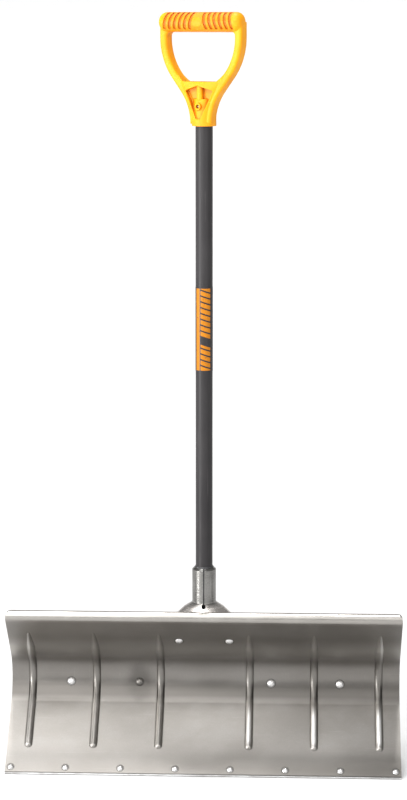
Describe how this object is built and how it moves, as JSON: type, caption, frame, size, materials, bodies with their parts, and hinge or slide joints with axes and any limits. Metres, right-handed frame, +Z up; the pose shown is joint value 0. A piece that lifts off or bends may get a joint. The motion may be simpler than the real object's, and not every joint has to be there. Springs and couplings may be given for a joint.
{
  "type": "snow shovel",
  "caption": "Push-type snow shovel: wide ribbed sheet-metal scoop with a rolled top edge and riveted wear strip, pressed socket, straight tube shaft and moulded D-grip.",
  "frame": {"origin": "middle of the wear strip's underside, the flat face that slides on the ground", "axes": "+Z up along the shaft, +X to the right across the blade, -Y to the front, where the snow goes"},
  "size_m": [0.61, 0.1183, 1.1571],
  "materials": {
    "blade_metal": "mill-finished sheet, rolled and pressed, with handling marks",
    "strip_metal": "hardened steel strip, ground edge",
    "rivet_metal": "bright cold-headed rivets",
    "brace_metal": "zinc-plated steel bar",
    "socket_metal": "bright zinc-plated pressing",
    "bush_plastic": "black polymer bush",
    "shaft_coating": "dark grey satin powder coat",
    "plug_plastic": "black polymer plug",
    "label_print": "satin band printed with plain orange bars",
    "grip_plastic": "moulded orange-yellow polymer, semi-gloss",
    "screw_metal": "zinc-plated screw"
  },
  "bodies": {
    "root": {"blade": "blade_metal", "wear_strip": "strip_metal", "wear_strip_rivets": "rivet_metal", "back_brace": "brace_metal", "brace_rivets": "rivet_metal", "socket": "socket_metal", "socket_rivets": "rivet_metal", "tongue_rivets": "rivet_metal", "socket_back_rivet": "rivet_metal", "socket_bush": "bush_plastic", "shaft": "shaft_coating", "shaft_lower_plug": "plug_plastic", "shaft_upper_plug": "plug_plastic", "shaft_label": "label_print", "grip": "grip_plastic", "grip_screw": "screw_metal"}
  },
  "joints": []
}
